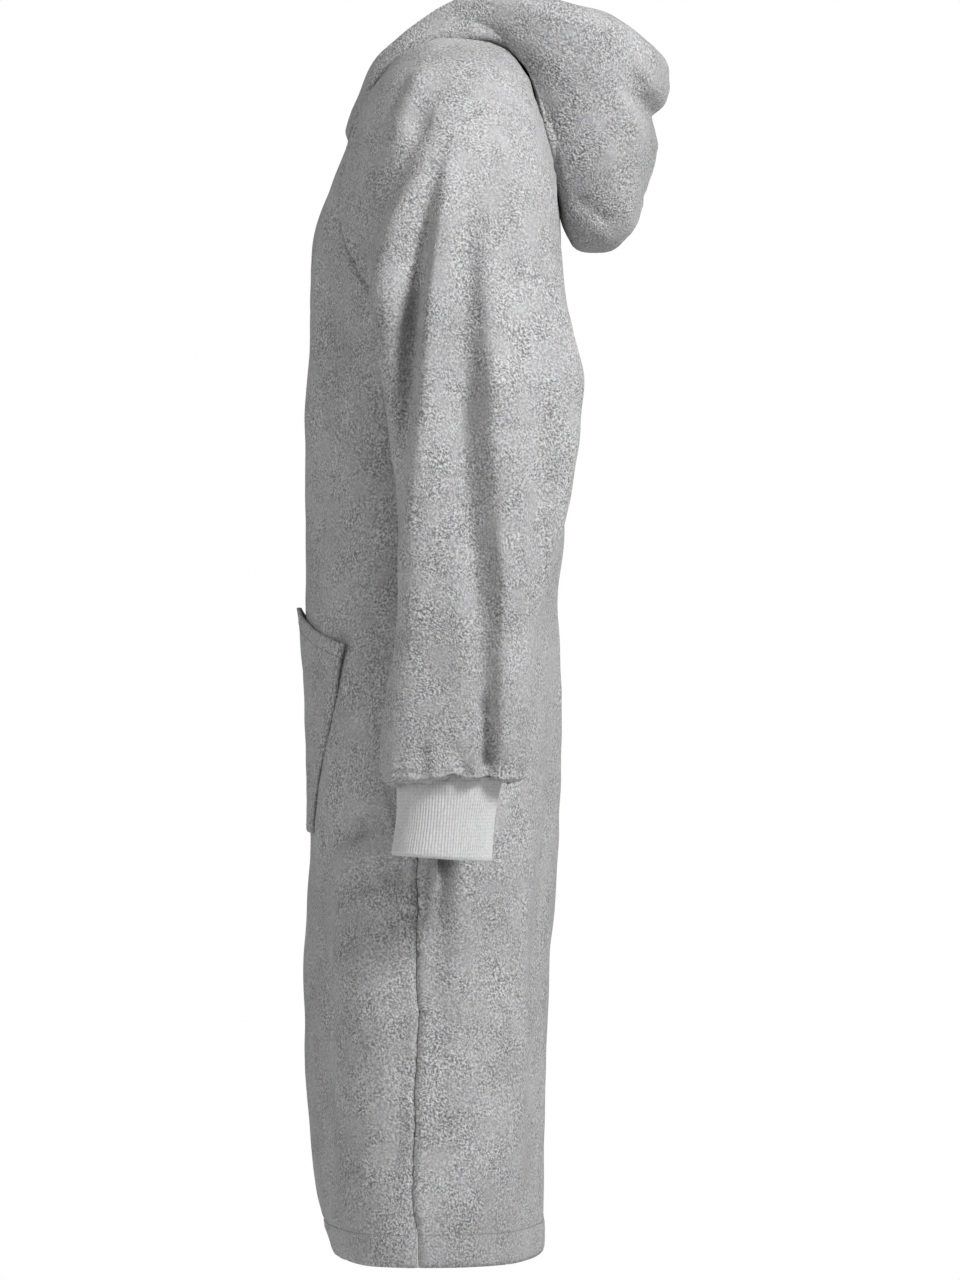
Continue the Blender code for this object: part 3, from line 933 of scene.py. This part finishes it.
@dataclass
class CuffPiece:
    """A ribbed cuff: a short tube of fine upright ribs that pulls in a little at its middle."""

    hand: Hand
    flat: tuple[float, float] = (0.29, 0.078)
    area: float = 0.0216
    ribs: int = 104
    per_rib: int = 6
    rows: int = 22
    rib_height: float = 0.34
    inner_rib_height: float = 0.2
    turned_in: float = 11.0
    top: tuple[float, float, float, float, float] = (273.2, 340.8, -3.0, -56.0, 48.5)

    def ring(self, depth_in: float, rib_height: float) -> Array:
        """A ring with ribs: radius + a cosine for each rib, squeezed and leaning forward downwards.

        Args:
            depth_in: Distance into the cloth from its outer face.
            rib_height: Height of the ribs.

        Returns:
            One face of the left cuff.
        """
        turn = np.linspace(-np.pi, np.pi, self.ribs * self.per_rib + 1)
        down = np.linspace(0.0, 1.0, self.rows)[:, None]
        z = CUFF_TOP_Z + self.turned_in - down * (CUFF_LENGTH + self.turned_in + 3.5 * np.sin(turn) - 2.0)
        inner, outer, mid, front, back = self.top
        squeeze = 1.0 - 0.07 * np.sin(np.pi * down)
        ends = np.clip(down * 12, 0.2, 1.0) * np.clip((1 - down) * 14, 0.0, 1.0)
        rib = rib_height * np.cos(turn * self.ribs) * ends
        roll = (depth_in - RIB_WALL / 2) * np.exp(-(((1.0 - down) * CUFF_LENGTH / 2.2) ** 2)) * 0.8
        drape = 1.3 * np.sin(turn * 3 + 1.0 + 2.0 * down) * down
        drape = drape + 3.2 * np.exp(-(((turn + 0.02) / 0.11) ** 2) - (((down - 0.16) / 0.08) ** 2))
        proud = rib + roll + drape - depth_in
        x = (inner + outer) / 2 + ((outer - inner) / 2 * squeeze + proud) * np.cos(turn) + 2 * SEAM
        depth = np.where(turn < 0, mid - front, (back - mid) * (1.0 - 0.15 * down**1.4))
        y = mid - 6.0 * down + np.sin(turn) * (depth * squeeze + proud)
        return np.stack(np.broadcast_arrays(x, y, z), axis=-1)

    def panel(self) -> Panel:
        """The cut piece with its face."""
        return Panel(
            "cuff_" + self.hand.suffix,
            self.hand.place(self.ring(0.0, self.rib_height)),
            -float(self.hand.value),
            self.flat,
            self.area,
            held="stretched",
            joined_from=0,
            inside=self.hand.place(self.ring(RIB_WALL, self.inner_rib_height)),
            slot="rib",
        )


@dataclass
class HoodHalf:
    """One half of the hood, worn down: a low collar in front that opens into a bag behind the back."""

    hand: Hand
    flat: tuple[float, float] = (0.34, 0.40)
    area: float = 0.085
    turns: int = 130
    steps: int = 130
    folds: tuple[Fold, ...] = ()

    def base(self) -> Array:
        """From neck seam to rim: a straight chord plus the bag's sag, turned by aim and scaled by the table.

        Returns:
            The plain grid of the left half, centre front first.
        """
        turn = np.linspace(0.0, 1.0, self.turns)[:, None]
        share = np.linspace(0.0, 1.0, self.steps)
        nip = np.clip((turn - 0.68) / 0.17, 0.0, 1.0) ** 1.5
        out = BAG.at("side_out", share) * (1 - nip) + BAG.at("seam_out", share) * nip
        up = BAG.at("side_up", share) * (1 - nip) + BAG.at("seam_up", share) * nip
        sag_out = out - BAG.columns["side_out"][-1] * share
        sag_up = up - BAG.columns["side_up"][-1] * share
        neck = neck_line(turn)
        aim = np.radians(HOOD.at("aim", turn))
        reach, drop = HOOD.at("reach", turn), HOOD.at("drop", turn)
        rim = [HOOD.at(name, turn) for name in ("rim_x", "rim_y", "rim_z")]
        apart = SEAM + HOOD_FRONT_GAP * np.clip(1.0 - turn / 0.12, 0.0, 1.0)
        swell = HOOD_SIDE_SWELL * np.exp(-(((turn - 0.75) / 0.08) ** 2) - (((share - 0.27) / 0.15) ** 2))
        x = neck[0] + (rim[0] - neck[0]) * share + np.sin(aim) * reach * sag_out + swell + apart
        y = neck[1] + (rim[1] - neck[1]) * share + np.cos(aim) * reach * sag_out
        z = neck[2] + (rim[2] - neck[2]) * share + drop * sag_up + 3 * SEAM
        return np.stack([x, y, z], axis=-1)

    def face(self) -> Array:
        """The grid with its creases and unevenness.

        Returns:
            The finished face of the left half, centre front first.
        """
        points = self.base()
        _, y, z = np.moveaxis(points, -1, 0)
        normal = normals_of(points, -1.0)
        turn = np.linspace(0.0, 1.0, self.turns)[:, None]
        near = edge_distance(points, 0, True)
        neck = edge_distance(points, 1, False)
        facing = np.clip(normal[..., 0] * 1.5 + 0.3, 0.0, 1.0)
        rise = facing * rise_of(self.folds, y, z)
        calm = np.clip(near / 30.0, 0.0, 1.0) * np.clip(neck / 30.0, 0.0, 1.0)
        broad = 1.6 * ripple(points, 90.0, 53) * np.clip(turn * 3 - 0.9, 0.2, 1.0)
        rise = rise + calm * (broad + 0.5 * ripple(points, 38.0, 59))
        rise = rise + np.where(turn > 0.5, seam_rise(near, z, 61, 0.8), 0.0)
        tucked = np.clip((turn - 0.16) / 0.08, 0.0, 1.0) * np.clip((0.7 - turn) / 0.1, 0.0, 1.0)
        rise = rise - 3.2 * tucked * np.exp(-((neck / 4.0) ** 2))
        return points + normal * rise[..., None]

    def panel(self) -> Panel:
        """The cut piece with its face."""
        name = "hood_" + self.hand.suffix
        return Panel(name, self.hand.place(self.face()), float(self.hand.value), self.flat, self.area)


@dataclass
class PocketPiece:
    """The pouch pocket: wide at the top, narrower below, lying on the front and gaping along its top."""

    corner: float = 205.0
    foot: float = 113.0
    top_z: float = -548.0
    corner_z: float = -584.0
    foot_z: float = -770.0
    gape: float = 6.2
    side_bow: float = 15.0
    corner_lift: float = 2.6
    flat: tuple[float, float] = (0.42, 0.225)
    area: float = 0.071
    columns: int = 110
    rows: int = 66

    def face(self, front: BodyPanel) -> Array:
        """The front's own form inside the pocket's outline, lifted by its wall and its gape.

        Args:
            front: The front that the pocket is sewn to.

        Returns:
            The finished face, top edge first.
        """
        s = np.linspace(-1.0, 1.0, self.columns)
        down = np.linspace(0.0, 1.0, self.rows)[:, None]
        ease = np.clip((np.abs(s) * self.corner - 40.0) / (self.corner - 40.0), 0.0, 1.0)
        top = self.top_z + (self.corner_z - self.top_z) * ease
        z = top + (self.foot_z - top) * down
        side = self.foot + (self.corner - self.foot) * (z - self.foot_z) / (self.corner_z - self.foot_z)
        side = np.minimum(side + self.side_bow * np.sin(np.pi * down) * (down < 1), self.corner)
        x = side * s
        y = ring_y(x, z, Side.FRONT) - SEAM / 2
        points = np.stack(np.broadcast_arrays(x, y, z), axis=-1)
        normal = normals_of(points, -1.0)
        rise = rise_of(front.face_folds, np.abs(x), z) + rise_of(front.side_folds, y, z)
        rise = rise + 1.5 * ripple(points, 150.0, 3, (1, 1, 2.2))
        open_top = np.clip(1.0 - (self.top_z - z) / 90.0, 0.0, 1.0)
        middle = np.clip(1.0 - (x / 120.0) ** 2, 0.0, 1.0)
        rise = rise + WALL + 0.8 + self.gape * middle * open_top**2
        near = np.minimum(edge_distance(points, 1, False), edge_distance(points, 1, True))
        rise = rise + 0.6 * ripple(points, 44.0, 71) + 0.8 * np.exp(-(((near - 10.0) / 6.0) ** 2))
        rise = rise - 1.2 * np.exp(-((near / 2.6) ** 2)) - 1.0 * np.exp(-(((near - 5.0) / 1.6) ** 2))
        lifted = self.corner_lift * np.exp(-(((self.corner_z - z) / 34.0) ** 2))
        rise = rise + lifted * np.exp(-((near / 14.0) ** 2))
        return points + normal * rise[..., None]

    def panel(self, front: BodyPanel) -> Panel:
        """The cut piece with its face."""
        return Panel(
            "pocket",
            self.face(front),
            -1.0,
            self.flat,
            self.area,
            held="laid",
            rests_on=("front_cloth",),
            stitches=(
                ("top", 14.0, 0, False),
                ("left", 5.0, 1, True),
                ("right", 5.0, 1, False),
                ("foot", 5.0, 0, True),
            ),
        )


# --------------------------------------
# Folds
# --------------------------------------

# Long folds of the sleeve, as places (y, z) on its outside
SLEEVE_FOLDS = (
    Fold("cap ridge", ((-28, -14), (-38, -40), (-50, -66), (-60, -98)), 12, 8.1, 0.3),
    Fold("cap hollow", ((-22, -44), (-32, -70), (-40, -104)), 9, -6.7),
    Fold(
        "front ridge",
        ((-21, -90), (-36, -129), (-54, -171), (-66, -213), (-72, -268), (-68, -350)),
        15, 18.8, 0.35,
    ),
    Fold(
        "front trough",
        ((-20, -130), (-31, -187), (-38, -235), (-42, -300), (-44, -365), (-50, -440)),
        9, -14.8,
    ),
    Fold("long ridge", ((-2, -110), (-12, -170), (-21, -250), (-29, -347)), 14, 12.9, 0.4),
    Fold(
        "long ridge lower",
        ((-21, -230), (-30, -350), (-40, -457), (-50, -576), (-58, -640), (-64, -700)),
        17, 20.2, 0.5,
    ),
    Fold(
        "middle trough",
        ((8, -130), (12, -186), (10, -260), (9, -368), (13, -440), (18, -520)),
        14, -10.6, 0.2,
    ),
    Fold("middle trough lower", ((15, -450), (22, -525), (26, -590), (30, -650)), 13, -9.5, 0.2),
    Fold("end trough", ((27, -630), (31, -680), (34, -728)), 8, -13.4, 0.2),
    Fold("end crease", ((-2, -680), (6, -700), (14, -716)), 7, -5.6),
    Fold(
        "rear ridge",
        ((30, -200), (33, -280), (38, -340), (37, -380), (43, -450), (48, -520)),
        16, 10.8, 0.35,
    ),
    Fold("rear ridge lower", ((44, -470), (47, -530), (46, -590), (45, -650), (44, -712)), 13, 12.8, 0.4),
    Fold("rear trough", ((84, -350), (86, -440), (84, -500), (76, -540)), 16, -8.7),
    Fold("blade fold", ((62, -60), (78, -120), (94, -200)), 16, -5.4, 0.3),
    Fold("shoulder fold", ((44, -90), (58, -150), (74, -240)), 14, 5.4, 0.3),
)

# Drag and hang of the front, as places (|x|, z)
FRONT_FACE_FOLDS = (
    Fold("armhole drag", ((176, -120), (150, -220), (128, -340)), 26, -8.8),
    Fold("armhole crease", ((196, -150), (186, -190), (170, -230)), 12, -7.0),
    Fold("breast ridge", ((120, -150), (96, -300), (92, -470)), 34, 6.1),
    Fold("pocket drag", ((225, -690), (190, -770), (140, -800)), 20, -7.0),
    Fold("skirt trough", ((140, -800), (158, -980), (172, -1160)), 42, -12.3),
    Fold("skirt ridge", ((205, -860), (212, -1000), (216, -1170)), 26, 7.9),
    Fold("middle hang", ((0, -790), (6, -960), (0, -1180)), 62, 7.0),
)
FRONT_SIDE_FOLDS = (
    Fold("armhole smudge", ((-66, -84), (-71, -102), (-66, -118)), 6, -3.5),
    Fold("armhole crease", ((-88, -130), (-80, -150), (-66, -178)), 5, -4.0, -0.3),
    Fold("cuff drag", ((-128, -778), (-92, -760), (-50, -732)), 11, -13.0),
    Fold("under cuff drag", ((-110, -822), (-74, -806), (-34, -800)), 13, -11.0),
    Fold("knee hollow", ((-46, -940), (-40, -1010), (-56, -1110)), 20, -7.5),
    Fold("skirt light", ((-104, -850), (-92, -930), (-70, -980)), 24, 7.0, 0.3),
    Fold("hem hollow", ((-30, -1000), (-24, -1090), (-34, -1170)), 14, -3.0),
)

# Hang of the back, as places (|x|, z)
BACK_FACE_FOLDS = (
    Fold("blade drag", ((150, -120), (136, -240), (150, -420)), 34, -8.2),
    Fold("back hollow", ((0, -240), (8, -430), (0, -640)), 62, -7.5),
    Fold("back ridge", ((62, -420), (58, -620), (66, -900)), 30, 6.0),
    Fold("skirt trough", ((112, -640), (128, -880), (142, -1160)), 40, -11.2),
    Fold("skirt ridge", ((190, -760), (196, -960), (204, -1170)), 28, 7.5),
    Fold("middle hang", ((0, -760), (-4, -980), (0, -1180)), 44, -6.0),
)
BACK_SIDE_FOLDS = (
    Fold("under cuff hollow", ((0, -690), (-10, -770), (-15, -815), (-24, -876)), 10, -24.0, 0.5),
    Fold("under cuff ridge", ((4, -780), (4, -850), (-2, -930)), 13, 7.0, 0.4),
    Fold("seam side hollow", ((-10, -940), (-14, -1010), (-8, -1090)), 13, -3.5),
    Fold("back edge swell", ((46, -820), (52, -920), (44, -1040)), 18, 3.0),
)

# Creases of the hood's side, as places (y, z)
HOOD_FOLDS = (
    Fold("roll crease", ((163, -34), (180, -46), (198, -56)), 7, -5.0),
    Fold("roll pinch", ((178, -20), (186, -34), (190, -48)), 6, -3.0),
    Fold("bag crease", ((112, -140), (134, -152), (156, -172)), 7, -4.0, 0.3),
    Fold("shoulder hollow", ((66, -22), (86, -66), (104, -130)), 15, -6.0),
    Fold("side swell", ((60, 24), (110, -10), (150, -50)), 30, 3.0),
)


# --------------------------------------
# Stitching
# --------------------------------------


@dataclass
class Topstitch:
    """A row of machine stitches laid along a line on the cloth.

    Attributes:
        name: What the row holds.
        line: Places along the row, in millimetres, already on the cloth's face.
        pitch: Length of one stitch and the gap after it.
        length: Length of the thread seen in each stitch.
        radius: Radius of the thread.
        sides: Faces round a stitch.
    """

    name: str
    line: Array
    pitch: float = 4.2
    length: float = 3.2
    radius: float = 0.42
    sides: int = 6

    def build(self, finish: bpy.types.Material) -> bpy.types.Object:
        """Lay one spindle for each stitch, each turned along the line.

        A spindle's point is the stitch's middle + along * half length * t + a ring whose girth is the
        thread's radius inside and a twentieth of it at both ends.

        Args:
            finish: The thread's material.

        Returns:
            The finished object.
        """
        step = np.linalg.norm(np.diff(self.line, axis=0), axis=1)
        walk = np.concatenate([[0.0], np.cumsum(step)])
        spots = np.arange(self.pitch / 2, walk[-1] - self.length / 2, self.pitch)
        ends = [
            np.stack([np.interp(spots + shift, walk, self.line[:, i]) for i in range(3)], axis=-1)
            for shift in (-self.length / 2, self.length / 2)
        ]
        middle, along = (ends[0] + ends[1]) / 2, ends[1] - ends[0]
        unit = along / np.linalg.norm(along, axis=1, keepdims=True)
        off_axis = np.array([0.31, 0.17, 0.93])
        side = np.cross(unit, off_axis)
        side /= np.maximum(np.linalg.norm(side, axis=1, keepdims=True), 1e-6)
        other = np.cross(unit, side)
        t = np.array([-1.0, -0.6, 0.6, 1.0])
        girth = self.radius * np.array([0.05, 1.0, 1.0, 0.05])
        turn = np.arange(self.sides) * 2 * np.pi / self.sides
        ring = (
            middle[:, None, None]
            + (along / 2)[:, None, None] * t[None, :, None, None]
            + side[:, None, None] * (girth[:, None] * np.cos(turn))[None, :, :, None]
            + other[:, None, None] * (girth[:, None] * np.sin(turn))[None, :, :, None]
        )
        index = np.arange(len(spots) * len(t) * self.sides).reshape(-1, len(t), self.sides)
        after = np.roll(index, -1, axis=2)
        sides = np.stack([index[:, :-1], after[:, :-1], after[:, 1:], index[:, 1:]], axis=-1).reshape(-1, 4)
        caps = index[:, 0, ::-1].tolist() + index[:, -1].tolist()
        made = stand(self.name, ring.reshape(-1, 3), sides.tolist() + caps, finish)
        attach(made, "root")
        LOG.info("%s: %d stitches", self.name, len(spots))
        return made


def inset(points: Array, distance: float, axis: int, last: bool) -> Array:
    """The line on a grid that runs a fixed distance inside one of its edges.

    Args:
        points: The finished face.
        distance: Distance from the edge.
        axis: 0 for an edge that is a row, 1 for a column.
        last: True for the last row or column.

    Returns:
        One place for each point of the edge.
    """
    grid = points if axis == 0 else points.transpose(1, 0, 2)
    grid = grid[::-1] if last else grid
    walk = edge_distance(grid, 0, False)
    after = np.clip((walk < distance).sum(axis=0), 1, len(grid) - 1)
    place = np.arange(grid.shape[1])
    share = (distance - walk[after - 1, place]) / (walk[after, place] - walk[after - 1, place])
    return grid[after - 1, place] + (grid[after, place] - grid[after - 1, place]) * share[:, None]


# --------------------------------------
# Studio
# --------------------------------------


@dataclass
class Studio:
    """White paper, soft light and a long lens at the height of the garment's middle.

    The floor is in millimetres, and the camera and the lamps are in metres. The world is white to the
    camera and dimmer to the garment.
    """

    floor_z: float = -1480.0
    floor_reach: float = 3000.0
    camera_distance: float = 8.0
    camera_y: float = 0.025
    camera_z: float = -0.58
    frame_height: float = 1.28
    sensor_mm: float = 36.0
    aim_drop: float = 0.4
    ambient: float = 0.30
    lamps: tuple[tuple[str, tuple[float, float, float], float, float], ...] = (
        ("key softbox", (1.9, 1.8, 1.25), 0.8, 122.0),
        ("fill softbox", (1.8, -3.2, 0.5), 2.2, 40.0),
        ("top softbox", (0.5, 0.1, 2.6), 1.4, 16.0),
    )

    def build(self) -> None:
        """Make the floor, the world, the lamps and the camera."""
        corners = np.array([(-1, -1), (1, -1), (1, 1), (-1, 1)]) * self.floor_reach
        points = np.column_stack([corners, np.full(4, self.floor_z)])
        floor = stand("studio_floor", points, [(0, 1, 2, 3)], PAPER.make())
        world = bpy.data.worlds.new("studio")
        world.use_nodes = True
        tree = world.node_tree
        seen = add(tree, "LightPath", {}, "Is Camera Ray")
        span = {"Value": seen, "To Min": self.ambient, "To Max": 1.0}
        strength = add(tree, "MapRange", span, "Result")
        feed(tree, tree.nodes["Background"], {"Strength": strength, "Color": linear("#ffffff")})
        bpy.context.scene.world = world
        bpy.context.scene.view_settings.view_transform = "Standard"
        for lamp in self.lamps:
            self.lamp(*lamp)
        lens = bpy.data.cameras.new("camera")
        lens.sensor_width = self.sensor_mm
        lens.lens = self.sensor_mm * self.camera_distance / self.frame_height
        lens.clip_end = 100.0
        camera = bpy.data.objects.new("camera", lens)
        camera.location = (self.camera_distance, self.camera_y, self.camera_z)
        camera.rotation_euler = (math.radians(90), 0, math.radians(90))
        bpy.context.scene.collection.objects.link(camera)
        bpy.context.scene.camera = camera

    def lamp(self, name: str, place: tuple[float, float, float], size: float, power: float) -> None:
        """Add a square soft lamp that looks at the garment's chest.

        Args:
            name: The lamp's name.
            place: Where it stands, in metres.
            size: Its side, in metres.
            power: Its power, in watts.
        """
        data = bpy.data.lights.new(name, "AREA")
        data.size = size
        data.energy = power
        made = bpy.data.objects.new(name, data)
        x, y, z = place[0], place[1], place[2] + self.aim_drop
        made.location = place
        made.rotation_euler = (math.atan2(math.hypot(x, y), z), 0, math.atan2(y, x) + math.pi / 2)
        bpy.context.scene.collection.objects.link(made)


def main() -> None:
    """Build the garment piece by piece, then the studio."""
    logging.basicConfig(level=logging.INFO, format="%(name)s %(message)s")
    terry, rib, thread = LoopedTerry().make(), RibKnit().make(), THREAD.make()
    folds = {"face_folds": FRONT_FACE_FOLDS, "side_folds": FRONT_SIDE_FOLDS}
    front = BodyPanel(Side.FRONT, (0.66, 1.15), 0.635, **folds)
    folds = {"face_folds": BACK_FACE_FOLDS, "side_folds": BACK_SIDE_FOLDS}
    back = BodyPanel(Side.BACK, (0.66, 1.19), 0.65, **folds)
    pieces = [(front.panel(), terry), (back.panel(), terry), (PocketPiece().panel(front), terry)]
    for hand in Hand:
        pieces.append((SleevePiece(hand, folds=SLEEVE_FOLDS).panel(), terry))
        pieces.append((CuffPiece(hand).panel(), rib))
        pieces.append((HoodHalf(hand, folds=HOOD_FOLDS).panel(), terry))
    for panel, finish in pieces:
        panel.build(finish)
        panel.stitch(thread)
    Studio().build()


if __name__ == "__main__":
    main()
